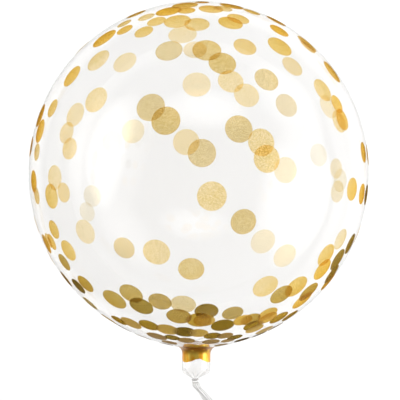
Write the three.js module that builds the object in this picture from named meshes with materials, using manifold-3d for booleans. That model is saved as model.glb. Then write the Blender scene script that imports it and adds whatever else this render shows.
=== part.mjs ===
// A clear bubble balloon, filled and lying on its side.
// The film is one piece: a ball, a short filling neck, the pleats where the neck is gathered,
// and the flat twisted tail that is left over below them. A thread wound round the pleats holds it shut.
// Millimetres, +Z up. The origin is the middle of the small flat spot that the ball rests on.
// The neck points along -Y, and "out" below is a distance from the ball's centre along the neck.

import * as THREE from "three";
import { mergeVertices } from "three/addons/utils/BufferGeometryUtils.js";
import Module from "manifold-3d";

// The ball
const ballRadius = 200;
const poleRise = 2.2; // how far the crown stands beyond a true sphere
const shoulderRise = 8.4; // how far the pull of the neck would lift the film on the neck's own axis
const shoulderSpread = THREE.MathUtils.degToRad(30); // the angle over which that pull dies away
const restSpotRadius = 24;

// The neck and its pleats
const neckRadius = 16.7;
const flareRadius = 9.5;
const neckLength = 16.5;
const gatherLength = 12;
const throatRadius = 3.4;
const throatLength = 3.4;
const throatShift = -0.8; // the tied place sits this far off the neck's axis, along X
const pleatCount = 8;
const pleatDepth = 0.16; // share of the radius, where the pleats are deepest
const throatPleatDepth = 0.05; // share of the radius, under the thread

// The tail: a flat strip of film, creased along its length
const tailWidth = 8.4;
const tailEndWidth = 12.5;
const tailThickness = 1.5;
const tailOpening = 3.5; // the length over which the round throat spreads into the flat strip
const creaseDepth = 0.7;
const creaseCount = 2; // creases across the full width
// The tail's middle line, from the end of the throat: across (X), out (-Y) and down (-Z)
const tailRoute = [
  [0, 0, 0],
  [0.6, 3.5, 0],
  [3, 8.2, 0],
  [8.2, 14.3, 0.5],
  [15.5, 23.2, 2],
  [24.5, 33.8, 5],
  [32.5, 45, 9.5],
];
// Half turns that the strip has made at shares of the tail's length
const tailTurns = [
  [0, 0],
  [0.06, 0],
  [0.18, 0.2],
  [0.32, 0.1],
  [1, 0.35],
];

// The thread
const threadRadius = 0.45;
const threadTurns = 3;
const threadGap = 0.3; // between the thread and the film
const knotRadius = 1.1;
const threadEndLength = 4.5;
const threadEndDrop = 1.2; // how far an end leans away from the throat

// How finely the round shapes are cut
const aroundSteps = 60;
const ballSteps = 32;
const flareSteps = 4;
const neckSteps = 2;
const gatherSteps = 7;
const throatSteps = 2;
const tailSteps = 16;
const threadAroundSteps = 28;
const threadSectionSteps = 4;
const boxMargin = 10;

const centreHeight = Math.sqrt(ballRadius ** 2 - restSpotRadius ** 2);
const tailCurve = new THREE.CatmullRomCurve3(
  tailRoute.map(([across, out, down]) => new THREE.Vector3(across, -out, -down)),
);
const tailLength = tailCurve.getLength();

// Distance of the film from the ball's centre, at an angle from the neck's axis
function ballReach(angle) {
  const crown = angle > Math.PI / 2 ? poleRise * Math.cos(angle) ** 2 : 0;
  return ballRadius + crown + shoulderRise * Math.exp(-angle / shoulderSpread);
}

function ballPoint(angle) {
  const reach = ballReach(angle);
  return new THREE.Vector2(reach * Math.sin(angle), reach * Math.cos(angle));
}

// The outline as (radius, out), from the crown to the tail's end. The tail's part only says how far along it is
const shoulderAngle = Math.asin((neckRadius + flareRadius) / ballRadius);
const shoulder = ballPoint(shoulderAngle);
const flareCorner = new THREE.Vector2(
  neckRadius,
  shoulder.y + (shoulder.x - neckRadius) * Math.tan(shoulderAngle),
);
const neckStart = new THREE.Vector2(neckRadius, flareCorner.y + flareRadius);
const neckEnd = new THREE.Vector2(neckRadius, neckStart.y + neckLength);
const throatStart = new THREE.Vector2(throatRadius, neckEnd.y + gatherLength);
const throatEnd = new THREE.Vector2(throatRadius, throatStart.y + throatLength);
const tailEnd = new THREE.Vector2(throatRadius, throatEnd.y + tailLength);

function ballOutline() {
  const points = [];
  for (let i = 0; i <= ballSteps; i++) {
    const angle = THREE.MathUtils.lerp(Math.PI, shoulderAngle, i / ballSteps);
    points.push(i === 0 ? new THREE.Vector2(0, -ballReach(Math.PI)) : ballPoint(angle));
  }
  return points;
}

function gatherCurve() {
  const fall = neckRadius - throatRadius;
  return new THREE.CubicBezierCurve(
    neckEnd,
    new THREE.Vector2(neckRadius, neckEnd.y + 0.26 * gatherLength),
    new THREE.Vector2(throatRadius + 0.36 * fall, throatStart.y - 0.3 * gatherLength),
    throatStart,
  );
}

function filmOutline() {
  const pieces = [
    ballOutline(),
    new THREE.QuadraticBezierCurve(shoulder, flareCorner, neckStart).getPoints(flareSteps),
    new THREE.LineCurve(neckStart, neckEnd).getPoints(neckSteps),
    gatherCurve().getPoints(gatherSteps),
    new THREE.LineCurve(throatStart, throatEnd).getPoints(throatSteps),
    new THREE.LineCurve(throatEnd, tailEnd).getPoints(tailSteps),
  ];
  const outline = pieces.flatMap((piece, i) => (i === 0 ? piece : piece.slice(1)));
  outline.push(new THREE.Vector2(0, tailEnd.y));
  return outline;
}

// Draws the round neck into pleats towards the throat, and shifts the rings sideways with it
function gatherPoint(radius, turn, out) {
  const along = THREE.MathUtils.smoothstep(out, neckEnd.y, throatStart.y);
  const depth = pleatDepth * Math.sin(Math.PI * along) + throatPleatDepth * along;
  const pleated = radius * (1 + depth * Math.cos(pleatCount * turn));
  return new THREE.Vector3(
    pleated * Math.sin(turn) + throatShift * along,
    -out,
    pleated * Math.cos(turn),
  );
}

function halfTurnsAt(share) {
  const next = tailTurns.findIndex(([at]) => at >= share);
  if (next <= 0) return tailTurns[Math.max(next, 0)][1];
  const [fromShare, fromTurns] = tailTurns[next - 1];
  const [toShare, toTurns] = tailTurns[next];
  const step = THREE.MathUtils.smoothstep(share, fromShare, toShare);
  return THREE.MathUtils.lerp(fromTurns, toTurns, step);
}

// Lays a ring of the outline across the tail's middle line: round at the throat, then flat, creased and turned
function tailPoint(radius, turn, out) {
  const along = out - throatEnd.y;
  const share = THREE.MathUtils.clamp(along / tailLength, 0, 1);
  const opened = THREE.MathUtils.smoothstep(along, 0, tailOpening);
  const filled = radius / throatRadius; // 0 only in the middle of the cut end
  const fullWidth = THREE.MathUtils.lerp(tailWidth, tailEndWidth, share ** 2);
  const round = throatRadius * (1 + throatPleatDepth * Math.cos(pleatCount * turn));
  const halfWidth = THREE.MathUtils.lerp(round, fullWidth / 2, opened);
  const halfThickness = THREE.MathUtils.lerp(round, tailThickness / 2, opened);
  const sideways = halfWidth * filled * Math.sin(turn);
  const crease = creaseDepth * opened * Math.cos((creaseCount * Math.PI * sideways) / halfWidth);
  const through = halfThickness * filled * Math.cos(turn) + crease;

  const middle = tailCurve.getPointAt(share);
  const forwards = tailCurve.getTangentAt(share);
  const across = new THREE.Vector3(0, 0, 1).cross(forwards).normalize();
  const upwards = new THREE.Vector3().crossVectors(forwards, across);
  const turned = Math.PI * halfTurnsAt(share);
  const a = across.clone().multiplyScalar(Math.cos(turned)).addScaledVector(upwards, Math.sin(turned));
  const b = upwards.clone().multiplyScalar(Math.cos(turned)).addScaledVector(across, -Math.sin(turned));
  return new THREE.Vector3(throatShift, -throatEnd.y, 0)
    .add(middle)
    .addScaledVector(a, sideways)
    .addScaledVector(b, through);
}

function filmGeometry() {
  const points = filmOutline()
    .reverse()
    .map((p) => new THREE.Vector2(p.x, -p.y));
  const geometry = new THREE.LatheGeometry(points, aroundSteps);
  const position = geometry.getAttribute("position");
  const p = new THREE.Vector3();
  for (let i = 0; i < position.count; i++) {
    p.fromBufferAttribute(position, i);
    const out = -p.y;
    if (out <= neckEnd.y) continue;
    const radius = Math.hypot(p.x, p.z);
    const turn = Math.atan2(p.x, p.z);
    p.copy(out <= throatEnd.y ? gatherPoint(radius, turn, out) : tailPoint(radius, turn, out));
    position.setXYZ(i, p.x, p.y, p.z);
  }
  return geometry;
}

const wasm = await Module();
wasm.setup();

function solidOf(geometry) {
  const bare = geometry.clone();
  bare.deleteAttribute("normal");
  bare.deleteAttribute("uv");
  const merged = mergeVertices(bare);
  return new wasm.Manifold(
    new wasm.Mesh({
      numProp: 3,
      vertProperties: new Float32Array(merged.getAttribute("position").array),
      triVerts: new Uint32Array(merged.index.array),
    }),
  );
}

function geometryOf(solid) {
  const mesh = solid.getMesh();
  const geometry = new THREE.BufferGeometry();
  geometry.setAttribute("position", new THREE.BufferAttribute(mesh.vertProperties, 3));
  geometry.setIndex(new THREE.BufferAttribute(mesh.triVerts, 1));
  return geometry;
}

// The film, with the rest spot cut flat on its underside
function bubbleGeometry() {
  const side = 2 * (ballRadius + boxMargin);
  const floor = new THREE.BoxGeometry(side, side, side);
  floor.translate(0, 0, -centreHeight - side / 2);
  return geometryOf(solidOf(filmGeometry()).subtract(solidOf(floor)));
}

// The thread lies in turns side by side, so its outline is a row of half rounds on a straight inner wall
const threadInnerRadius = throatRadius * (1 + throatPleatDepth) + threadGap;
const threadOuterRadius = threadInnerRadius + 2 * threadRadius;
const threadHalfLength = threadTurns * threadRadius;
const tieOut = (throatStart.y + throatEnd.y) / 2;

function threadTurnsGeometry() {
  const points = [new THREE.Vector2(threadInnerRadius, -threadHalfLength)];
  for (let turn = 0; turn < threadTurns; turn++) {
    const middle = -threadHalfLength + (2 * turn + 1) * threadRadius;
    for (let i = turn === 0 ? 0 : 1; i <= threadSectionSteps; i++) {
      const angle = Math.PI * (i / threadSectionSteps - 0.5);
      points.push(
        new THREE.Vector2(
          threadInnerRadius + threadRadius * (1 + Math.cos(angle)),
          middle + threadRadius * Math.sin(angle),
        ),
      );
    }
  }
  points.push(new THREE.Vector2(threadInnerRadius, threadHalfLength));
  points.push(points[0].clone());
  return new THREE.LatheGeometry(points, threadAroundSteps);
}

// One cut end of the thread, from the knot outwards. side is 1 towards +X and -1 towards -X
function threadEndGeometry(side) {
  const curve = new THREE.QuadraticBezierCurve3(
    new THREE.Vector3(0, 0, -threadOuterRadius),
    new THREE.Vector3(side * 0.5 * threadEndLength, 0, -threadOuterRadius - 0.8 * threadEndDrop),
    new THREE.Vector3(side * threadEndLength, -threadRadius, -threadOuterRadius - threadEndDrop),
  );
  const section = new THREE.Shape().absarc(0, 0, threadRadius, 0, 2 * Math.PI);
  return new THREE.ExtrudeGeometry(section, { steps: 6, curveSegments: 8, extrudePath: curve });
}

// The knot sits under the throat
function tieGeometry() {
  const knot = new THREE.SphereGeometry(knotRadius, 14, 10);
  knot.translate(0, 0, -threadOuterRadius);
  return geometryOf(
    solidOf(threadTurnsGeometry())
      .add(solidOf(knot))
      .add(solidOf(threadEndGeometry(1)))
      .add(solidOf(threadEndGeometry(-1))),
  );
}

const clearFilm = new THREE.MeshStandardMaterial({
  color: 0xf1f0ef,
  roughness: 0.05,
  metalness: 0,
  transparent: true,
  opacity: 0.3,
});
const clearThread = new THREE.MeshStandardMaterial({ color: 0xd9d9d8, roughness: 0.25, metalness: 0 });

const bubble = new THREE.Mesh(bubbleGeometry(), clearFilm);
bubble.name = "bubble";

const neckTie = new THREE.Mesh(tieGeometry(), clearThread);
neckTie.name = "neck_tie";
neckTie.position.set(throatShift, -tieOut, 0);

const balloon = new THREE.Group();
balloon.position.z = centreHeight;
balloon.add(bubble, neckTie);

export default balloon;
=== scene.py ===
import math

import bpy
import numpy as np
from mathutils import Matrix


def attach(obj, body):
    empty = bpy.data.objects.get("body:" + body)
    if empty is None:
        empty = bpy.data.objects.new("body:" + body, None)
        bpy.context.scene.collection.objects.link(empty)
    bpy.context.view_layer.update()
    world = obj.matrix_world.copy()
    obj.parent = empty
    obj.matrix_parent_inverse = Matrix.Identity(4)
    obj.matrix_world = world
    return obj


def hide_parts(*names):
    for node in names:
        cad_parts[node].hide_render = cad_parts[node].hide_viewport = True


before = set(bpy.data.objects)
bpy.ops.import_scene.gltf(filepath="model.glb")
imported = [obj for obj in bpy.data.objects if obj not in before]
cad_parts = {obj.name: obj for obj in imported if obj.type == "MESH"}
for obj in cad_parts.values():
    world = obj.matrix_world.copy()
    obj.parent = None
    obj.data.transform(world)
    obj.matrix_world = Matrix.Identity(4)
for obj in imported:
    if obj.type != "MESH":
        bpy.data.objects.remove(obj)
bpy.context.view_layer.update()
tau = 2 * math.pi

# The whole balloon
balloon = {
    "radius": 0.200,
    "crownRise": 0.0022,
    "neckPull": 0.0084,  # how far the neck would lift the film on its own axis
    "neckPullAngle": math.radians(30),
    "restSpotRadius": 0.024,
    "neckRadius": 0.0167,
    "flareRadius": 0.0095,
    "neckLength": 0.0165,
    "gatherLength": 0.012,
    "throatRadius": 0.0034,
    "throatLength": 0.0034,
    "throatShift": -0.0008,
    "pleats": 8,
    "pleatDepth": 0.16,
    "throatPleatDepth": 0.05,
    # how the gather's curve leaves the neck and meets the throat, as shares of its length and of its fall
    "gatherLeave": 0.26,
    "gatherMeet": 0.3,
    "gatherMeetWidth": 0.36,
}
centreHeight = math.sqrt(balloon["radius"] ** 2 - balloon["restSpotRadius"] ** 2)
centre = np.array([0.0, 0.0, centreHeight])

# The camera, straight above. The middle of the ball sits at this pixel of the 400 x 400 frame
view = {
    "distance": 8.69 * balloon["radius"],
    "focalPixels": 1466.0,
    "middlePixel": (198.7, 172.5),
    "roll": math.radians(0.75),
    "frame": 400,
}


def makeCamera():
    data = bpy.data.cameras.new("camera")
    data.sensor_width = 36
    data.lens = 36 * view["focalPixels"] / view["frame"]
    data.shift_x = (view["frame"] / 2 - view["middlePixel"][0]) / view["frame"]
    data.shift_y = (view["middlePixel"][1] - view["frame"] / 2) / view["frame"]
    data.clip_start = 0.05
    data.clip_end = 50
    camera = bpy.data.objects.new("camera", data)
    camera.location = (0, 0, centreHeight + view["distance"])
    camera.rotation_euler = (0, 0, view["roll"])
    bpy.context.collection.objects.link(camera)
    bpy.context.scene.camera = camera


makeCamera()
print("camera placed")


# ---- small tools for meshes


# Faces of a grid of rings. The order of the corners makes them point outwards
def ringFaces(rows, around, closedRows=False):
    row = np.arange(rows if closedRows else rows - 1)[:, None]
    step = np.arange(around)[None, :]
    nextRow = (row + 1) % rows
    nextStep = (step + 1) % around
    corners = [row * around + step, nextRow * around + step]
    corners += [nextRow * around + nextStep, row * around + nextStep]
    return np.stack(corners, -1).reshape(-1, 4)


# A skin of rings closed at both ends by a point, repeated for every item of the first axis
def poledSkin(rings, firstPole, lastPole, inwards=False):
    items, rows, around, _ = rings.shape
    each = rows * around + 2
    points = np.concatenate([firstPole[:, None], rings.reshape(items, -1, 3), lastPole[:, None]], 1)
    quads = ringFaces(rows, around) + 1
    step = np.arange(around)
    after = (step + 1) % around
    lastRow = 1 + (rows - 1) * around
    firstFan = np.stack([np.zeros(around, int), 1 + step, 1 + after], -1)
    lastFan = np.stack([lastRow + step, np.full(around, each - 1), lastRow + after], -1)
    fans = np.concatenate([firstFan, lastFan])
    if inwards:
        quads = quads[:, ::-1]
        fans = fans[:, ::-1]
    shift = (np.arange(items) * each)[:, None, None]
    return points.reshape(-1, 3), (quads + shift).reshape(-1, 4), (fans + shift).reshape(-1, 3)


# Makes an object from skins, each of them points, four-cornered faces and three-cornered faces
def makePiece(name, skins, finish, sharpAngle=None):
    points = []
    faces = []
    count = 0
    for skinPoints, quads, fans in skins:
        points.append(skinPoints)
        faces += (quads + count).tolist() + (fans + count).tolist()
        count += len(skinPoints)
    mesh = bpy.data.meshes.new(name)
    mesh.from_pydata(np.concatenate(points).tolist(), [], faces)
    mesh.polygons.foreach_set("use_smooth", np.ones(len(faces), bool))
    mesh.update()
    if sharpAngle:
        mesh.set_sharp_from_angle(angle=sharpAngle)
    mesh.materials.append(finish)
    piece = bpy.data.objects.new(name, mesh)
    bpy.context.collection.objects.link(piece)
    print(f"{name}: {len(mesh.loops) - 2 * len(faces)} triangles")
    return piece


# Gives every corner point of a piece a number, for its finish to read
def paintValues(piece, name, values):
    attribute = piece.data.attributes.new(name, "FLOAT", "POINT")
    attribute.data.foreach_set("value", np.asarray(values, np.float32))


def unit(vectors):
    return vectors / np.linalg.norm(vectors, axis=-1, keepdims=True)


def smoothStep(x, low, high):
    share = np.clip((x - low) / (high - low), 0, 1)
    return share * share * (3 - 2 * share)


# ---- small tools for finishes


class Wire:
    def __init__(self, finish, socket):
        self.finish = finish
        self.socket = socket

    def worked(self, operation, first, second):
        return self.finish.add("ShaderNodeMath", {"operation": operation}, {0: first, 1: second})

    def __add__(self, other):
        return self.worked("ADD", self, other)

    __radd__ = __add__

    def __sub__(self, other):
        return self.worked("SUBTRACT", self, other)

    def __rsub__(self, other):
        return self.worked("SUBTRACT", other, self)

    def __mul__(self, other):
        return self.worked("MULTIPLY", self, other)

    __rmul__ = __mul__

    # 0 below the first value, 1 above the second and smooth between them
    def between(self, low, high):
        settings = {"interpolation_type": "SMOOTHSTEP"}
        return self.finish.add("ShaderNodeMapRange", settings, {0: self, 1: low, 2: high, 3: 0.0, 4: 1.0})

    def held(self):
        return self.worked("MINIMUM", self.worked("MAXIMUM", self, 0.0), 1.0)


# The nodes of a material, a lamp or the world
class Finish:
    def __init__(self, owner, output="ShaderNodeOutputMaterial"):
        self.owner = owner
        self.owner.use_nodes = True
        self.tree = self.owner.node_tree
        self.tree.nodes.clear()
        self.output = self.tree.nodes.new(output)

    # Adds any node: its settings first, then the values or wires of its sockets
    def add(self, kind, settings=None, values=None, out=0):
        node = self.tree.nodes.new(kind)
        for name, setting in (settings or {}).items():
            setattr(node, name, setting)
        for key, value in (values or {}).items():
            if isinstance(value, Wire):
                self.tree.links.new(value.socket, node.inputs[key])
            else:
                node.inputs[key].default_value = value
        return Wire(self, node.outputs[out])

    def place(self):
        return self.add("ShaderNodeTexCoord", out="Object")

    def stretched(self, scales):
        return self.add("ShaderNodeMapping", {}, {"Vector": self.place(), "Scale": scales})

    def part(self, vector, axis):
        return self.add("ShaderNodeSeparateXYZ", {}, {0: vector}, out="XYZ".index(axis))

    # How far the surface turns away from the eye, from 0 to 1
    def edgeOn(self):
        return self.add("ShaderNodeLayerWeight", {}, {"Blend": 0.5}, out="Facing")

    def noise(self, scale, detail=2.0, where=None):
        values = {"Vector": where or self.place(), "Scale": scale, "Detail": detail}
        return self.add("ShaderNodeTexNoise", {}, values, out=0)

    def attribute(self, name):
        return self.add("ShaderNodeAttribute", {"attribute_name": name}, out="Fac")

    def mixColours(self, share, first, second):
        return self.add("ShaderNodeMix", {"data_type": "RGBA"}, {0: share, 6: first, 7: second}, out=2)

    def mixShaders(self, share, first, second):
        return self.add("ShaderNodeMixShader", {}, {0: share, 1: first, 2: second})

    def clear(self, colour):
        return self.add("ShaderNodeBsdfTransparent", {}, {"Color": colour})

    def solid(self, values):
        return self.add("ShaderNodeBsdfPrincipled", {}, values)

    def show(self, shader):
        self.tree.links.new(shader.socket, self.output.inputs["Surface"])
        return self.owner


def newFinish(name):
    return Finish(bpy.data.materials.new(name))


# ---- the film

film = {
    "thickness": 0.00012,
    "around": 192,
    "ballRows": 110,
    "flareRows": 16,
    "neckRows": 6,
    "gatherRows": 24,
    "throatRows": 6,
    "tailRows": 70,
    "clearness": (0.950, 0.947, 0.943, 1),
    # painted light: the neck's film takes a paler tint than the ball's, so the neck shows brighter
    "neckBrightenedClearness": (0.985, 0.983, 0.98, 1),
    "rimShade": (0.24, 0.225, 0.21, 1),  # painted shade where the film is seen edge on, also at the neck's sides, the tail's edges and its fold lines
    "rimStart": 0.78,
    "neckFrom": 0.205,  # how far out the ball's clearness ends, and the neck's begins
    "neckTo": 0.222,
    "neckRim": 0.6,  # how much of the rim's painted shade the neck's sides and the tail's edges take
    "tailRim": 0.3,
    "tailFade": 0.002,
    "bending": 1.40,  # index of refraction
    "roughness": 0.0,
}

# The tail's middle line from the end of the throat: across (X), out (-Y), down (-Z)
tail = {
    "widths": [0.0068, 0.0086, 0.0074, 0.0092, 0.0125],
    "thickness": 0.0005,
    "opening": 0.0024,
    "creaseDepth": 0.0007,
    "creases": 3,
    "fineCreaseDepth": 0.0002,
    "fineCreases": 7,
    "waverRate": 9,  # how the fine creases wander along the strip
    "waverStart": 1.3,
    "route": [
        (0, 0, 0),
        (0.0006, 0.0035, 0),
        (0.0030, 0.0082, 0),
        (0.0082, 0.0143, 0.0005),
        (0.0155, 0.0232, 0.002),
        (0.0245, 0.0338, 0.005),
        (0.0325, 0.045, 0.0095),
    ],
    "widthShares": [0, 0.08, 0.2, 0.45, 1],
    "turnShares": [0, 0.06, 0.18, 0.32, 1],
    "halfTurns": [0, 0, 0.2, 0.1, 0.35],
    # fold lines, drawn as painted shade: where each lies across the strip at its start and end, from -1 to
    # 1
    "folds": [(-0.55, -0.35), (-0.15, 0.25), (0.5, 0.62)],
    "foldWidth": 0.11,
    "foldShade": 0.6,
    "foldWander": 0.05,
    "foldWanderRate": 17,
    "foldFadeIn": 0.06,
    "edgeFrom": 0.82,
    "edgeTo": 0.95,
}


# Distance of the film from the ball's centre at an angle from the neck's axis: the radius, plus a crown
# that grows with the square of the cosine, plus a pull that dies away from the neck
def ballReach(angle):
    crown = np.where(angle > math.pi / 2, balloon["crownRise"] * np.cos(angle) ** 2, 0)
    return balloon["radius"] + crown + balloon["neckPull"] * np.exp(-angle / balloon["neckPullAngle"])


shoulderAngle = math.asin((balloon["neckRadius"] + balloon["flareRadius"]) / balloon["radius"])
shoulderReach = float(ballReach(np.array(shoulderAngle)))
shoulder = (shoulderReach * math.sin(shoulderAngle), shoulderReach * math.cos(shoulderAngle))
flareOut = shoulder[1] + (shoulder[0] - balloon["neckRadius"]) * math.tan(shoulderAngle)
neckStart = flareOut + balloon["flareRadius"]
neckEnd = neckStart + balloon["neckLength"]
throatStart = neckEnd + balloon["gatherLength"]
throatEnd = throatStart + balloon["throatLength"]


# A Bezier curve, sampled at even steps that leave out its first point
def bezier(controls, rows):
    t = (np.arange(rows) + 1)[:, None] / rows
    points = [np.array(p)[None, :] for p in controls]
    while len(points) > 1:
        points = [a + (b - a) * t for a, b in zip(points, points[1:])]
    return points[0]


# The outline as (radius, distance out), from next to the crown down to the end of the throat
def outline(inset=0.0):
    angle = np.linspace(math.pi, shoulderAngle, film["ballRows"] + 1)[1:]
    reach = ballReach(angle)
    neck = balloon["neckRadius"]
    throat = balloon["throatRadius"]
    fall = neck - throat
    parts = [np.stack([reach * np.sin(angle), reach * np.cos(angle)], -1)]
    parts.append(bezier([shoulder, (neck, flareOut), (neck, neckStart)], film["flareRows"]))
    parts.append(bezier([(neck, neckStart), (neck, neckEnd)], film["neckRows"]))
    leave = neckEnd + balloon["gatherLeave"] * balloon["gatherLength"]
    meet = throatStart - balloon["gatherMeet"] * balloon["gatherLength"]
    meetWidth = throat + balloon["gatherMeetWidth"] * fall
    gather = [(neck, neckEnd), (neck, leave), (meetWidth, meet), (throat, throatStart)]
    parts.append(bezier(gather, film["gatherRows"]))
    parts.append(bezier([(throat, throatStart), (throat, throatEnd)], film["throatRows"]))
    points = np.concatenate(parts)
    if inset:
        along = unit(np.gradient(points, axis=0))
        points = points + inset * np.stack([-along[:, 1], along[:, 0]], -1)
    return points


# Turns the outline round the neck's axis. Towards the throat a cosine of the turn draws the ring into
# pleats, and nothing reaches below the floor, which leaves the rest spot flat
def spun(radius, out, turn, floorHeight=0.0):
    along = smoothStep(out, neckEnd, throatStart)
    depth = balloon["pleatDepth"] * np.sin(math.pi * along) + balloon["throatPleatDepth"] * along
    pleated = radius * (1 + depth * np.cos(balloon["pleats"] * turn))
    x = pleated * np.sin(turn) + balloon["throatShift"] * along
    z = np.maximum(pleated * np.cos(turn) + centreHeight, floorHeight)
    return np.stack(np.broadcast_arrays(x, -out, z), -1)


# A smooth path through points, with bends that even out as a rope's would, sampled at equal steps
def smoothPath(points, samples):
    points = np.array(points, float)
    points = np.concatenate([[2 * points[0] - points[1]], points, [2 * points[-1] - points[-2]]])
    gaps = np.linalg.norm(np.diff(points, axis=0), axis=-1, keepdims=True) ** 0.5
    a, b, c, d = points[:-3], points[1:-2], points[2:-1], points[3:]
    before, here, after = gaps[:-2], gaps[1:-1], gaps[2:]
    leaving = ((b - a) / before - (c - a) / (before + here) + (c - b) / here) * here
    arriving = ((c - b) / here - (d - b) / (here + after) + (d - c) / after) * here
    t = np.linspace(0, 1, 60, endpoint=False)[None, :, None]
    b, c, leaving, arriving = (x[:, None, :] for x in (b, c, leaving, arriving))
    curve = b * (2 * t**3 - 3 * t**2 + 1) + c * (3 * t**2 - 2 * t**3)
    curve = curve + leaving * (t**3 - 2 * t**2 + t) + arriving * (t**3 - t**2)
    curve = np.concatenate([curve.reshape(-1, 3), points[-2:-1]])
    length = np.concatenate([[0], np.cumsum(np.linalg.norm(np.diff(curve, axis=0), axis=-1))])
    even = np.linspace(0, length[-1], samples)
    return np.stack([np.interp(even, length, curve[:, k]) for k in range(3)], -1)


# The tail: a ring laid across the middle line, round at the throat and then a flat strip.
# Its depth is a cosine of the place across it, coarse and fine, and the strip turns as it goes
def tailRings(turn):
    rows = film["tailRows"]
    route = [(across, -out, -down) for across, out, down in tail["route"]]
    start = np.array([balloon["throatShift"], -throatEnd, centreHeight])
    middle = smoothPath(route, rows + 1)
    forwards = unit(np.gradient(middle, axis=0))
    length = np.linalg.norm(np.diff(middle, axis=0), axis=-1).sum()
    share = np.linspace(0, 1, rows + 1)
    opened = smoothStep(share * length, 0, tail["opening"])[:, None]
    pleated = balloon["throatRadius"] * (1 + balloon["throatPleatDepth"] * np.cos(balloon["pleats"] * turn))
    width = np.interp(share, tail["widthShares"], tail["widths"])[:, None]
    halfWidth = pleated * (1 - opened) + width / 2 * opened
    halfThickness = pleated * (1 - opened) + tail["thickness"] / 2 * opened
    sideways = halfWidth * np.sin(turn)
    place = sideways / halfWidth
    crease = tail["creaseDepth"] * np.cos(tail["creases"] * math.pi * place)
    waver = np.sin(tail["waverRate"] * share + tail["waverStart"])[:, None]
    crease = crease + tail["fineCreaseDepth"] * np.cos(tail["fineCreases"] * math.pi * place + 2 * waver)
    through = halfThickness * np.cos(turn) + opened * crease
    step = np.interp(share, tail["turnShares"], np.arange(len(tail["turnShares"])))
    smoothed = np.floor(step) + smoothStep(step - np.floor(step), 0, 1)
    turned = math.pi * np.interp(smoothed, np.arange(len(tail["halfTurns"])), tail["halfTurns"])
    across = unit(np.cross([0.0, 0.0, 1.0], forwards))
    upwards = np.cross(forwards, across)
    cosine = np.cos(turned)[:, None]
    sine = np.sin(turned)[:, None]
    a = (across * cosine + upwards * sine)[:, None, :]
    b = (upwards * cosine - across * sine)[:, None, :]
    rings = (start + middle)[:, None, :] + a * sideways[:, :, None] + b * through[:, :, None]
    return rings[1:]


# How strongly the painted shade of the fold lines and the edges shows at each point of the tail: a bell
# curve round each line
def tailFoldShade(turn):
    share = (np.arange(film["tailRows"]) + 1)[:, None] / film["tailRows"]
    place = np.sin(turn)
    tone = smoothStep(np.abs(place), tail["edgeFrom"], tail["edgeTo"]) * np.ones_like(share)
    for first, last in tail["folds"]:
        wander = tail["foldWander"] * np.sin(tail["foldWanderRate"] * share + 5 * first)
        line = first + (last - first) * share + wander
        tone = np.maximum(tone, np.exp(-(((place - line) / tail["foldWidth"]) ** 2)))
    return tail["foldShade"] * tone * smoothStep(share, 0, tail["foldFadeIn"])


def filmFinish():
    finish = newFinish("clear film")
    facing = finish.edgeOn()
    out = -1 * finish.part(finish.place(), "Y")
    inNeck = out.between(film["neckFrom"], film["neckTo"])
    inTail = out.between(throatStart, throatEnd + film["tailFade"])
    neckSides = film["neckRim"] * inNeck * facing.between(0.5, 0.95)
    tailEdges = film["tailRim"] * inTail * facing.between(0.1, 0.5)
    # painted shade: the film's colour darkens to the rim's dark tone where it is seen edge on, at the
    # neck's sides, at the tail's edges and along the fold lines
    rim = (facing.between(film["rimStart"], 1.0) + neckSides + tailEdges).held()
    rim = (rim + finish.attribute("fold")).held()
    # painted light: the neck's film is paler than the ball's
    clearness = finish.mixColours(inNeck, film["clearness"], film["neckBrightenedClearness"])
    values = {"Base Color": finish.mixColours(rim, clearness, film["rimShade"])}
    values |= {"Roughness": film["roughness"], "IOR": film["bending"], "Transmission Weight": 1.0}
    return finish.show(finish.solid(values))


# Two walls of film. The inner one ends at the throat, and the tail is one flat strip
def makeFilm():
    turn = (np.arange(film["around"]) * tau / film["around"])[None, :]
    outer = outline()
    body = spun(outer[:, :1], outer[:, 1:], turn)
    strip = tailRings(turn)
    rings = np.concatenate([body, strip])[None]
    crown = np.array([[0.0, float(ballReach(np.array(math.pi))), centreHeight]])
    cutEnd = strip[-1].mean(0)[None]
    outerSkin = poledSkin(rings, crown, cutEnd)
    thickness = film["thickness"]
    inner = outline(thickness)[: -film["throatRows"]]
    hollow = spun(inner[:, :1], inner[:, 1:], turn, thickness)[None]
    innerCrown = crown - np.array([[0, thickness, 0]])
    innerEnd = np.array([[balloon["throatShift"], -throatStart, centreHeight]])
    innerSkin = poledSkin(hollow, innerCrown, innerEnd, inwards=True)
    piece = makePiece("bubble_film", [outerSkin, innerSkin], filmFinish())
    folds = tailFoldShade(turn).ravel()
    before = 1 + body.shape[0] * body.shape[1]
    after = 1 + len(innerSkin[0])
    paintValues(piece, "fold", np.concatenate([np.zeros(before), folds, np.zeros(after)]))
    piece.visible_shadow = False
    piece.visible_diffuse = False
    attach(piece, "root")
    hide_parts("bubble")


makeFilm()
print("film made")

# ---- the gold dots

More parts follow.
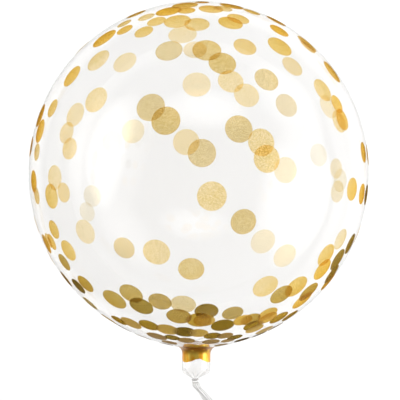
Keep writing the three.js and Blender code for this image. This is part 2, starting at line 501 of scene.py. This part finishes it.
# Widths in millimetres, and for each the pixels of the 400 x 400 frame where dots of that width have their
# middles, on the near wall and on the far wall
dots = {
    "near": {
        31.5: [(150.6, 107.2), (165.7, 120.6), (104.0, 38.2), (182.5, 34.2), (206.8, 50.0), (211.9, 196.2)],
        30: [
            (95.8, 99.6), (168.5, 11.0), (185.0, 5.0), (177.3, 21.0), (168.9, 50.5), (196.6, 84.3),
            (201.9, 153.0), (222.4, 63.1), (332.2, 71.6), (238.9, 128.9), (261.4, 142.3), (266.9, 158.8),
            (265.6, 286.6), (156.4, 252.3), (98.1, 60.2),
        ],
        28: [
            (74.9, 114.6), (40.2, 115.5), (39.8, 131.0), (54.4, 177.7), (51.2, 196.3), (85.0, 231.8),
            (197.0, 24.1), (186.2, 142.0), (230.8, 81.2), (246.7, 95.1), (266.6, 79.4), (307.2, 43.5),
            (285.6, 170.0), (243.5, 221.8), (263.0, 241.6), (284.9, 255.9), (281.5, 294.7), (302.4, 300.6),
            (337.8, 259.8), (191.2, 269.2), (131.0, 293.8), (183.2, 304.4), (178.9, 316.6), (211.0, 8.8),
            (230.6, 22.6), (124.7, 62.1),
        ],
        26: [
            (33.5, 181.5), (339.2, 121.3), (340.3, 180.4), (352.3, 189.2), (350.3, 244.0), (332.0, 274.3),
            (130.9, 323.3), (167.4, 329.8), (222.6, 325.5), (184.8, 332.2),
        ],
        24: [(46.4, 244.0), (204.2, 320.6), (232.7, 313.3), (267.5, 318.2), (156.8, 336.5)],
        22: [(65.8, 279.0), (242.8, 320.3), (254.6, 328.9), (264.5, 330.3), (108.8, 319.3), (198.4, 333.2)],
        20: [(211.0, 341.8), (186.3, 340.5), (143.0, 337.0), (212.5, 336.0)],
        18.5: [(225.0, 335.8), (169.4, 342.6)],
        16: [(227.8, 340.6), (221.0, 345.0)],
    },
    "far": {
        32: [(132.8, 131.2), (286.7, 105.1)],
        30: [
            (112.3, 141.8), (195.0, 49.4), (245.1, 46.4), (279.9, 46.2), (292.6, 66.0), (318.9, 155.0),
            (296.4, 286.9), (123.9, 248.1), (114.3, 299.7), (159.8, 301.9), (206.5, 311.5),
        ],
        28: [
            (66.2, 132.6), (69.2, 148.5), (91.8, 196.0), (71.7, 76.0), (322.8, 90.0), (328.4, 106.6),
            (337.8, 191.5), (308.8, 292.0), (326.3, 255.3), (322.6, 269.7), (141.2, 306.3), (199.0, 320.3),
            (231.8, 5.9),
        ],
        25.5: [
            (63.3, 192.6), (86.8, 212.0), (276.3, 20.8), (342.3, 119.5), (336.5, 168.5), (340.7, 239.4),
            (328.3, 281.8), (68.2, 250.6), (238.2, 18.6),
        ],
        24: [
            (31.0, 146.5), (136.0, 14.0), (279.3, 30.4), (362.1, 194.0), (366.4, 194.8), (363.6, 152.2),
            (367.8, 154.8), (85.3, 284.1), (250.5, 319.5), (267.8, 314.0), (279.0, 317.8), (253.5, 325.5),
            (148.8, 325.4),
        ],
        22: [
            (52.4, 108.2), (156.4, 21.3), (143.7, 31.7), (307.8, 46.5), (337.0, 104.0), (358.0, 234.5),
            (53.8, 229.6), (36.3, 224.5), (64.1, 262.3), (78.3, 286.3), (90.0, 303.5), (290.0, 316.0),
            (122.0, 328.8), (223.0, 8.5), (81.0, 47.0),
        ],
        20: [
            (36.8, 152.0), (36.7, 195.6), (124.6, 29.7), (146.3, 17.0), (186.5, 10.5), (51.6, 242.0),
            (50.0, 258.2), (275.5, 327.0), (118.8, 320.5), (251.8, 11.8),
        ],
        18: [(124.2, 23.5), (48.3, 240.5), (259.5, 334.5), (234.8, 337.4), (241.8, 340.0), (172.3, 337.7)],
        16: [(202.0, 2.2), (166.0, 345.5)],
    },
    "gap": 0.00005,  # between the ink and the film
    "thickness": 0.00006,
    "rings": 5,
    "around": 28,
    # what one face lets through: the faintest ink, also a painted highlight on dots the lamps wash pale,
    # thin ink, rich ink and dense ink, also painted shade on the far wall
    "faintAndHighlightThrough": (1.0, 0.985, 0.94, 1),
    "paleThrough": (1.0, 0.912, 0.71, 1),
    "richThrough": (0.94, 0.735, 0.20, 1),
    "denseThrough": (0.45, 0.35, 0.06, 1),
    "glossTone": (1.0, 0.95, 0.82, 1),
    "gold": (0.90, 0.62, 0.13, 1),
    "brownGold": (0.42, 0.25, 0.04, 1),
    "gloss": 0.012,  # the share of plain gloss in the near wall's ink, and in the far wall's
    "farGloss": 0.10,
    "plainFrom": 0.35,  # the share of gloss from which it is all plain metal
    "neckMetal": 0.55,  # how much more metal shows in the near wall's ink by the neck
    "metallic": 0.5,
    "roughness": 0.5,
    "glossRoughness": 0.12,
    "grainScale": 900,
    "grainInRich": 0.4,
    "grainInDense": 0.16,
    "cloudScale": 60,
    "cloudInRich": 0.25,
    "edgeRich": 1.5,  # how much richer, denser and glossier the ink is where it is seen edge on
    "edgeDense": 0.4,
    "edgeGloss": 0.12,
    "denseFrom": math.radians(47),  # the angles from the neck between which the ink grows dense
    "denseTo": math.radians(25),
    "brownFrom": math.radians(30),  # and those between which the near wall's gold turns brown
    "brownTo": math.radians(23),
    "thinnest": 0.01,
    "densest": 0.24,
    # painted shade: the far wall's dots take much denser ink than the same print on the near wall
    "farShadeDensest": 0.95,
    "rimDensest": 0.75,
    "densestOfAll": 1.1,
    "richToNeck": 0.65,
    "richBrown": 0.35,
    "unevenness": 0.07,  # how much the density varies by the neck, with its share elsewhere
    "unevenElsewhere": 0.4,
    "richUnevenness": 0.2,
    # a far dot this many pixels from the middle of the ball, or more, is laid on the near wall instead
    "rimFrom": 145,
    # dots drawn darker than their neighbours, by how much, and the pixels of their middles
    "drawnDarker": {
        0.85: [(78.3, 286.3)],
        0.6: [
            (350.3, 244.0), (337.8, 259.8), (332.0, 274.3), (366.4, 194.8), (141.2, 306.3), (166.0, 345.5),
            (122.0, 328.8),
        ],
        0.35: [
            (85.3, 284.1), (64.1, 262.3), (308.8, 292.0), (281.5, 294.7), (178.9, 316.6), (131.0, 293.8),
            (232.7, 313.3), (65.8, 279.0), (114.3, 299.7), (130.9, 323.3), (222.6, 325.5), (198.4, 333.2),
            (254.6, 328.9), (264.5, 330.3), (167.4, 329.8), (184.8, 332.2), (143.0, 337.0), (108.8, 319.3),
            (221.0, 345.0), (259.5, 334.5), (241.8, 340.0),
        ],
        0.16: [
            (238.9, 128.9), (150.6, 107.2), (165.7, 120.6), (201.9, 153.0), (222.4, 63.1), (206.8, 50.0),
            (168.9, 50.5), (191.2, 269.2), (123.9, 248.1), (183.2, 304.4), (243.5, 221.8), (266.6, 79.4),
        ],
    },
    # and those drawn fainter and paler: partly thinner ink, partly a painted highlight where the lamps'
    # reflections wash dots pale
    "fainterInkAndHighlight": {
        0.85: [
            (318.9, 155.0), (112.3, 141.8), (91.8, 196.0), (86.8, 212.0), (340.3, 180.4), (90.0, 303.5),
        ],
        0.5: [
            (132.8, 131.2), (285.6, 170.0), (336.5, 168.5), (337.8, 191.5), (263.0, 241.6), (284.9, 255.9),
            (328.4, 106.6), (307.2, 43.5), (223.0, 8.5), (307.8, 46.5), (251.8, 11.8), (136.0, 14.0),
            (146.3, 17.0), (124.2, 23.5), (48.3, 240.5), (234.8, 337.4), (172.3, 337.7), (36.8, 152.0),
            (36.7, 195.6), (340.7, 239.4),
        ],
        0.25: [
            (182.5, 34.2), (339.2, 121.3), (332.2, 71.6), (196.6, 84.3), (211.0, 8.8), (85.0, 231.8),
            (54.4, 177.7), (74.9, 114.6), (124.7, 62.1), (195.0, 49.4), (98.1, 60.2), (185.0, 5.0),
        ],
    },
    # the near wall's dots by the neck that are olive rather than gold
    "olive": [(222.6, 325.5), (184.8, 332.2), (212.5, 336.0)],
}


# The direction of the camera's ray through each pixel
def rayThrough(pixels):
    u = (pixels[:, 0] - view["middlePixel"][0]) / view["focalPixels"]
    w = -(pixels[:, 1] - view["middlePixel"][1]) / view["focalPixels"]
    cosine = math.cos(view["roll"])
    sine = math.sin(view["roll"])
    return unit(np.stack([cosine * u - sine * w, sine * u + cosine * w, -np.ones(len(u))], -1))


def angleFromNeck(directions):
    return np.arccos(np.clip(-directions[..., 1], -1, 1))


# Where the rays meet the near or far wall, from the ball's centre: a sphere is met again and again,
# each time with the reach of the place that was found, and a ray just past the rim takes its nearest point
def wallUnder(pixels, near):
    ray = rayThrough(pixels)
    start = np.array([0.0, 0.0, view["distance"]])
    reach = np.full(len(pixels), balloon["radius"])
    towards = ray @ start
    for _ in range(12):
        root = np.sqrt(np.maximum(towards**2 - (start @ start - reach**2), 0))
        distance = -towards + np.where(near, -root, root)
        place = start + distance[:, None] * ray
        reach = ballReach(angleFromNeck(unit(place)))
    return unit(place)


# Which of the dots have their middle at one of these places
def listed(pixels, places):
    return np.linalg.norm(pixels[:, None] - np.array(places)[None], axis=-1).min(1) < 0.5


# The middles, widths and walls of all dots, and which of them the rim moved to the near wall
def readDots():
    pixels = []
    widths = []
    near = []
    for wall in ("near", "far"):
        for width, places in dots[wall].items():
            pixels += places
            widths += [width / 1000] * len(places)
            near += [wall == "near"] * len(places)
    pixels = np.array(pixels)
    near = np.array(near)
    fromMiddle = np.linalg.norm(pixels - np.array(view["middlePixel"]), axis=-1)
    moved = ~near & (fromMiddle > dots["rimFrom"])
    return pixels, np.array(widths), near | moved, moved


# A dot is a round patch of ink: every point is its middle's direction leaned by an angle, out to the film
# there, and again a little lower for its other face. The near wall's ink lies on the film, and the far
# wall's under it
def dotSkin(middle, widths, near):
    a = unit(np.cross(middle, [0.0, 1.0, 0.001]))
    b = np.cross(middle, a)
    turn = np.arange(dots["around"]) * tau / dots["around"]
    spoke = np.cos(turn)[:, None] * a[:, None, :] + np.sin(turn)[:, None] * b[:, None, :]
    share = (np.arange(dots["rings"]) + 1) / dots["rings"]
    share = np.concatenate([share, share[::-1]])
    face = np.where(near, dots["gap"] + dots["thickness"], -film["thickness"] - dots["gap"])
    lift = face[:, None] - np.repeat([0, dots["thickness"]], dots["rings"])
    lean = (widths / 2 / balloon["radius"])[:, None] * share
    lean = lean[:, :, None, None]
    direction = np.cos(lean) * middle[:, None, None, :] + np.sin(lean) * spoke[:, None]
    reach = ballReach(angleFromNeck(direction)) + lift[:, :, None]
    rings = direction * reach[..., None] + centre
    top = middle * (ballReach(angleFromNeck(middle)) + lift[:, 0])[:, None] + centre
    under = middle * (ballReach(angleFromNeck(middle)) + lift[:, -1])[:, None] + centre
    return poledSkin(rings, top, under)


# How dense and how rich each dot's ink is, and how much metal shows in it. All three grow towards the neck.
# The far wall's ink grows much denser than the near wall's: painted shade
def dotTones(middle, pixels, near, moved):
    angle = angleFromNeck(middle)
    toNeck = 1 - smoothStep(angle, dots["denseTo"], dots["denseFrom"])
    brown = 1 - smoothStep(angle, dots["brownTo"], dots["brownFrom"])
    olive = listed(pixels, dots["olive"]) | moved
    nearDensest = np.where(olive, dots["rimDensest"], dots["densest"])
    # painted shade: the far wall's ink is drawn denser than the near wall's
    dense = toNeck * np.where(near, nearDensest, dots["farShadeDensest"])
    for extra, places in dots["drawnDarker"].items():
        dense = dense + extra * listed(pixels, places)
    uneven = np.random.default_rng(7).uniform(-1, 1, len(pixels))
    dense = dense + dots["thinnest"] + dots["unevenness"] * uneven * (dots["unevenElsewhere"] + toNeck)
    dense = np.clip(dense, 0, dots["densestOfAll"])
    rich = dots["richToNeck"] * toNeck + dots["richBrown"] * brown
    rich = rich + dots["richUnevenness"] * uneven[::-1] * (1 - brown)
    rich = np.clip(rich, -dots["richUnevenness"], 1)
    # partly thinner ink, partly a painted highlight: these dots are drawn paler
    for extra, places in dots["fainterInkAndHighlight"].items():
        rich = np.where(listed(pixels, places), -extra, rich)
    nearMetal = dots["gloss"] + dots["neckMetal"] * toNeck * ~olive
    metal = np.where(near, nearMetal, dots["farGloss"] * (1 - toNeck))
    return {"dense": dense, "rich": rich, "metal": metal}


# Gold ink. Faint and thin ink let pale gold through, rich ink a deeper gold and dense ink olive brown.
# It looks richer where it is seen edge on, and a small share of it is metal that catches the lamps
def goldInk(name):
    finish = newFinish(name)
    metalShare = finish.attribute("metal")
    dense = finish.attribute("dense")
    rich = finish.attribute("rich")
    grain = finish.noise(dots["grainScale"], 3.0).between(0.3, 0.7)
    cloud = finish.noise(dots["cloudScale"], 2.0)
    edgeOn = finish.edgeOn()
    squared = edgeOn * edgeOn
    richness = rich + dots["edgeRich"] * squared + dots["cloudInRich"] * (cloud - 0.5)
    richness = (richness + dots["grainInRich"] * (grain - 0.5)).held()
    density = dense + dots["grainInDense"] * (grain - 0.5)
    density = (density + dots["edgeDense"] * squared * squared).held()
    # the faintest tone is partly a painted highlight, for dots the lamps' reflections wash pale
    faintAndHighlight = finish.clear(dots["faintAndHighlightThrough"])
    through = finish.mixShaders((1 + rich).held(), faintAndHighlight, finish.clear(dots["paleThrough"]))
    through = finish.mixShaders(richness, through, finish.clear(dots["richThrough"]))
    # the dense olive brown is painted shade on the far wall
    through = finish.mixShaders(density, through, finish.clear(dots["denseThrough"]))
    plain = metalShare.between(dots["farGloss"], dots["plainFrom"])
    plain = (plain + dots["edgeRich"] * squared).held()
    golden = finish.mixColours(rich.between(0.7, 1.0), dots["gold"], dots["brownGold"])
    values = {"Base Color": finish.mixColours(plain, dots["glossTone"], golden)}
    values["Roughness"] = dots["glossRoughness"] + (dots["roughness"] - dots["glossRoughness"]) * plain
    values["Metallic"] = 1 - (1 - dots["metallic"]) * plain
    share = metalShare * (0.7 + 0.6 * grain) + dots["edgeGloss"] * squared * edgeOn
    return finish.show(finish.mixShaders(share.held(), through, finish.solid(values)))


def makeDots():
    pixels, widths, near, moved = readDots()
    middle = wallUnder(pixels, near)
    skin = dotSkin(middle, widths, near)
    piece = makePiece("gold_dots", [skin], goldInk("gold ink"), math.radians(40))
    for name, tones in dotTones(middle, pixels, near, moved).items():
        paintValues(piece, name, np.repeat(tones, len(skin[0]) // len(pixels)))
    piece.visible_shadow = False
    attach(piece, "root")


makeDots()
print("dots made")

# ---- the gold round the neck, where the pattern runs together

neckGold = {
    "topRadius": 0.033,  # where it starts on the shoulder, searched for in the ball's last rows
    "shoulderRows": 12,
    "lowestOut": 0.2238,
    "scallopDepth": 0.006,
    "scallops": 3,
    "firstNotch": math.radians(9),
    "rows": 24,
    "around": 144,
    "gap": 0.00005,
    "thickness": 0.00006,
    "gold": (1.0, 0.70, 0.10, 1),
    "deepGold": (0.98, 0.42, 0.01, 1),
    "brown": (0.45, 0.19, 0.01, 1),  # on the flare's print, and as painted shade on the band's sides where they are seen edge on
    "roughness": 0.33,
    "through": (0.98, 0.80, 0.36, 1),
    "share": 0.88,
    "unevenShare": 0.4,
    "metallic": 0.8,
    "coat": 0.3,
    "coatRoughness": 0.1,
    "streakScale": 150,
    "streakDepth": 0.001,
    "streakStrength": 0.8,
    "patchScale": 130,
}


# Follows the film's outline from the shoulder down to a scalloped edge, each scallop one lobe of a sine
def neckGoldSkin():
    profile = outline()
    profile = profile[film["ballRows"] - neckGold["shoulderRows"] : -film["throatRows"]]
    start = int(np.argmin(np.abs(profile[:, 0] - neckGold["topRadius"])))
    profile = profile[start:]
    length = np.concatenate([[0], np.cumsum(np.linalg.norm(np.diff(profile, axis=0), axis=-1))])
    turn = np.arange(neckGold["around"]) * tau / neckGold["around"]
    lobes = np.abs(np.sin(neckGold["scallops"] / 2 * (turn - neckGold["firstNotch"])))
    lowest = neckGold["lowestOut"] - neckGold["scallopDepth"] * (1 - lobes)
    reached = np.interp(lowest, profile[:, 1], length)
    share = np.linspace(0, 1, neckGold["rows"])[:, None]
    along = share * reached[None, :]
    normal = unit(np.gradient(profile, axis=0))
    normal = np.stack([normal[:, 1], -normal[:, 0]], -1)
    layers = []
    for lift in (neckGold["gap"] + neckGold["thickness"], neckGold["gap"]):
        shifted = profile + lift * normal
        radius = np.interp(along, length, shifted[:, 0])
        out = np.interp(along, length, shifted[:, 1])
        layers.append(spun(radius, out, turn[None, :]))
    rings = np.concatenate([layers[0], layers[1][::-1]])
    quads = ringFaces(2 * neckGold["rows"], neckGold["around"], closedRows=True)
    return rings.reshape(-1, 3), quads, np.zeros((0, 3), int)


# Brighter metal than the dots, in streaks that run down the neck, turned brown by painted shade at its
# sides
def neckGoldFinish():
    finish = newFinish("neck gold")
    streaks = finish.noise(neckGold["streakScale"], 3.0, finish.stretched((1, 0.3, 1)))
    golden = finish.mixColours(streaks.between(0.35, 0.65), neckGold["deepGold"], neckGold["gold"])
    out = -1 * finish.part(finish.place(), "Y")
    onFlare = 1 - out.between(flareOut + 0.002, neckStart)
    patches = finish.noise(neckGold["patchScale"], 2.0).between(0.34, 0.5)
    # brown patches of print on the flare, and painted shade where the band is seen edge on
    brownPrintAndEdgeShade = (onFlare * patches + finish.edgeOn().between(0.55, 0.95)).held()
    values = {"Base Color": finish.mixColours(brownPrintAndEdgeShade, golden, neckGold["brown"])}
    values |= {"Metallic": neckGold["metallic"], "Roughness": neckGold["roughness"]}
    values |= {"Coat Weight": neckGold["coat"], "Coat Roughness": neckGold["coatRoughness"]}
    bump = {"Strength": neckGold["streakStrength"], "Distance": neckGold["streakDepth"], "Height": streaks}
    values["Normal"] = finish.add("ShaderNodeBump", {}, bump)
    share = (neckGold["share"] + neckGold["unevenShare"] * (streaks - 0.5)).held()
    through = finish.clear(neckGold["through"])
    return finish.show(finish.mixShaders(share, through, finish.solid(values)))


def makeNeckGold():
    piece = makePiece("neck_gold", [neckGoldSkin()], neckGoldFinish(), math.radians(40))
    piece.visible_shadow = False
    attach(piece, "root")


makeNeckGold()
print("neck gold made")

# ---- the thread

thread = {
    "radius": 0.0003,
    "gap": 0.0002,
    "turns": 3,
    "stepsPerTurn": 40,
    "knotSize": 0.00035,
    "knotSteps": 90,
    # one loose end, as (x, y, z) from the coil's underside. The other is its mirror image
    "end": [
        (0, 0, -0.00015),
        (0.0012, 0, -0.0003),
        (0.00225, 0.0003, -0.00078),
        (0.0045, -0.0003, -0.0011),
    ],
    "endSteps": 24,
    "section": 10,
    "twist": 900,  # strand turns for each metre
    "plyDepth": 0.12,
    "darkTone": (0.86, 0.86, 0.85, 1),
    "paleTone": (0.97, 0.97, 0.96, 1),
    "streakScale": 2500,
    "roughness": 0.12,
    "clearness": 0.9,
}


# Carries a round section along a path, with plies that wind round it
def tubeSkin(path, radius):
    forwards = unit(np.gradient(path, axis=0))
    side = unit(np.cross(forwards, [0.13, -0.31, 0.94]))
    other = np.cross(side, forwards)
    length = np.concatenate([[0], np.cumsum(np.linalg.norm(np.diff(path, axis=0), axis=-1))])
    turn = (np.arange(thread["section"]) * tau / thread["section"])[None, :]
    ply = 1 - thread["plyDepth"] * np.cos(2 * (turn - tau * thread["twist"] * length[:, None])) ** 2
    spoke = np.cos(turn)[..., None] * side[:, None, :] + np.sin(turn)[..., None] * other[:, None, :]
    rings = path[:, None, :] + radius * ply[..., None] * spoke
    return poledSkin(rings[None], path[:1], path[-1:], inwards=True)


# A coil of touching turns, a small trefoil knot on its underside and two loose ends
def threadSkins():
    r = thread["radius"]
    wound = balloon["throatRadius"] * (1 + balloon["throatPleatDepth"]) + thread["gap"] + r
    middle = np.array([balloon["throatShift"], -(throatStart + throatEnd) / 2, centreHeight])
    t = np.linspace(0, 1, thread["stepsPerTurn"] * thread["turns"] + 1)
    angle = math.pi + tau * thread["turns"] * t
    rise = (t - 0.5) * 2 * r * (thread["turns"] - 1)
    helix = np.stack([wound * np.sin(angle), rise, wound * np.cos(angle)], -1)
    s = np.linspace(0, tau, thread["knotSteps"])
    knot = np.stack([np.sin(s) + 2 * np.sin(2 * s), np.cos(s) - 2 * np.cos(2 * s), -np.sin(3 * s)], -1)
    knot = knot * thread["knotSize"] + np.array([0, 0, -wound - 0.2 * r])
    skins = [tubeSkin(helix + middle, r), tubeSkin(knot + middle, r)]
    for side in (1, -1):
        end = smoothPath([(side * x, y, z - wound) for x, y, z in thread["end"]], thread["endSteps"])
        skins.append(tubeSkin(end + middle, r))
    return skins


def threadFinish():
    finish = newFinish("clear thread")
    colour = finish.mixColours(finish.noise(thread["streakScale"]), thread["darkTone"], thread["paleTone"])
    values = {"Base Color": colour, "Roughness": thread["roughness"]}
    values["Transmission Weight"] = thread["clearness"]
    return finish.show(finish.solid(values))


def makeThread():
    piece = makePiece("tie_wraps", threadSkins(), threadFinish())
    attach(piece, "root")
    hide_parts("neck_tie")


makeThread()
print("thread made")

# ---- floor, lights and world

studio = {
    "floorSize": 8.0,
    "floorHeight": -0.0003,
    "floorColour": (0.86, 0.86, 0.86, 1),
    "floorPale": (0.9, 0.9, 0.9, 1),
    "floorRoughness": 0.8,
    "floorCloudScale": 3.0,
    "worldLow": 0.56,
    "worldHigh": 0.12,
    "worldTop": 0.85,  # how far up it has fallen to that
    "worldLean": 0.5,  # how much brighter the room is behind the ball than at its neck
    "poolPlace": (0.05, 0.02, 3.2),
    "poolPower": 297,
    "poolAngle": math.radians(25),
    "poolBlend": 0.5,
    "poolSize": 0.1,
    # place, width, height, radiance in the middle
    "lamps": {
        "left softbox": ((-1.39, 0.24, 0.72), 1.9, 1.4, 1.3),
        "right softbox": ((1.38, -0.36, 0.55), 2.2, 1.0, 3.0),
        "upper right softbox": ((1.22, -0.28, 1.00), 2.2, 1.0, 1.3),
        "right fill": ((1.15, 0.85, 0.56), 1.6, 1.1, 1.5),
        "back softbox": ((0.06, 0.95, 1.37), 1.6, 0.75, 2.2),
    },
}


def makeFloor():
    half = studio["floorSize"] / 2
    z = studio["floorHeight"]
    corners = [(-half, -half, z), (half, -half, z), (half, half, z), (-half, half, z)]
    mesh = bpy.data.meshes.new("floor")
    mesh.from_pydata(corners, [], [(0, 1, 2, 3)])
    finish = newFinish("pale floor")
    cloud = finish.noise(studio["floorCloudScale"])
    colour = finish.mixColours(cloud, studio["floorColour"], studio["floorPale"])
    values = {"Base Color": colour, "Roughness": studio["floorRoughness"]}
    mesh.materials.append(finish.show(finish.solid(values)))
    floor = bpy.data.objects.new("floor", mesh)
    bpy.context.collection.objects.link(floor)


# Turns a lamp's -Z towards a point, with its long side level
def aim(lamp, target):
    x, y, z = np.array(target) - np.array(lamp.location)
    lamp.rotation_euler = (math.atan2(math.hypot(x, y), -z), 0, math.atan2(x, -y) + math.pi)


# A lamp whose light fades from its middle to its edge, as one less the squared distance from its middle
def softLamp(name, place, width, height, radiance):
    data = bpy.data.lights.new(name, "AREA")
    data.shape = "RECTANGLE"
    data.size = width
    data.size_y = height
    data.energy = width * height * math.pi
    glow = Finish(data, "ShaderNodeOutputLight")
    spread = glow.add("ShaderNodeNewGeometry", out="Parametric")
    x = 2 * glow.part(spread, "X") - 1
    y = 2 * glow.part(spread, "Y") - 1
    fade = (1 - x * x - y * y).held()
    glow.show(glow.add("ShaderNodeEmission", {}, {"Strength": radiance * fade}))
    lamp = bpy.data.objects.new(name, data)
    lamp.location = place
    bpy.context.collection.objects.link(lamp)
    aim(lamp, centre)


# The softboxes, and a pool of light from above on the floor under the ball that no wall mirrors
def makeLights():
    for name, (place, width, height, radiance) in studio["lamps"].items():
        softLamp(name, place, width, height, radiance)
    data = bpy.data.lights.new("pool", "SPOT")
    data.energy = studio["poolPower"]
    data.spot_size = studio["poolAngle"]
    data.spot_blend = studio["poolBlend"]
    data.shadow_soft_size = studio["poolSize"]
    pool = bpy.data.objects.new("pool", data)
    pool.location = studio["poolPlace"]
    pool.visible_glossy = False
    pool.visible_transmission = False
    bpy.context.collection.objects.link(pool)


# The room: a soft grey that changes from the floor upwards, and is darker on the neck's side
def makeWorld():
    room = Finish(bpy.data.worlds.new("studio"), "ShaderNodeOutputWorld")
    direction = room.add("ShaderNodeTexCoord", out="Generated")
    low = studio["worldLow"] * (1 + studio["worldLean"] * room.part(direction, "Y"))
    fall = room.part(direction, "Z").between(0.0, studio["worldTop"])
    strength = low + (studio["worldHigh"] - low) * fall
    bpy.context.scene.world = room.show(room.add("ShaderNodeBackground", {}, {"Strength": strength}))


makeFloor()
makeLights()
makeWorld()
scene = bpy.context.scene
scene.view_settings.view_transform = "Standard"
scene.cycles.use_denoising = True
scene.cycles.caustics_reflective = False
scene.cycles.caustics_refractive = False
# A ray through the ball crosses many walls of film and faces of ink
scene.cycles.max_bounces = 24
scene.cycles.transmission_bounces = 24
scene.cycles.transparent_max_bounces = 48
print("studio made")
